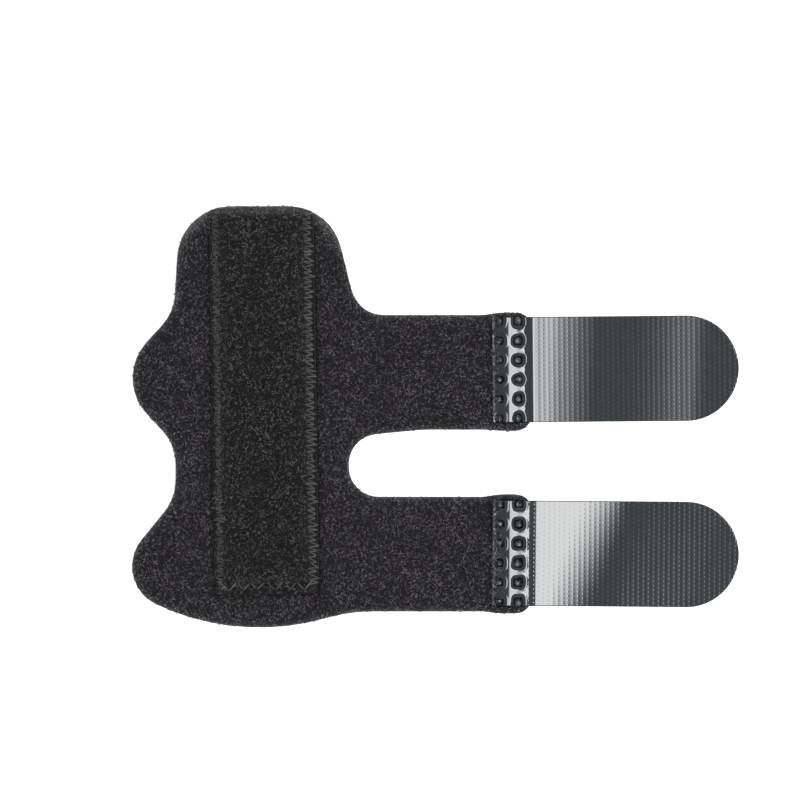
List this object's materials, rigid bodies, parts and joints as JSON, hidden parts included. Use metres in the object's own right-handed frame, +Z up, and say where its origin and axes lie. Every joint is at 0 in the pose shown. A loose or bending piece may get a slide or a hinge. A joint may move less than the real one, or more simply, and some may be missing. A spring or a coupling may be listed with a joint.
{
  "type": "finger splint",
  "caption": "Soft finger splint: a cut foam-laminate pad with a sewn sleeve for a stay, two straps round a slot and hook tabs welded to the strap ends, laid flat.",
  "frame": {"origin": "on the pad's underside, at the pocket's centre line and half way across the slot between the straps", "axes": "+X from the pad towards the strap tips, +Y towards the finger end, +Z up out of the pocket side"},
  "size_m": [0.1151, 0.08, 0.0047],
  "materials": {
    "laminate": "brushed unbroken loop knit over foam, matte black",
    "loop_tape": "woven loop tape with a fine curled pile, matte black",
    "hook_tape": "moulded nylon hook film, smooth glossy back with a fine moulded grid",
    "thread": "filament polyester sewing thread, black, slight sheen"
  },
  "bodies": {
    "root": {"body_pad": "laminate", "stay_pocket": "loop_tape", "upper_hook_tab": "hook_tape", "lower_hook_tab": "hook_tape"}
  },
  "joints": []
}
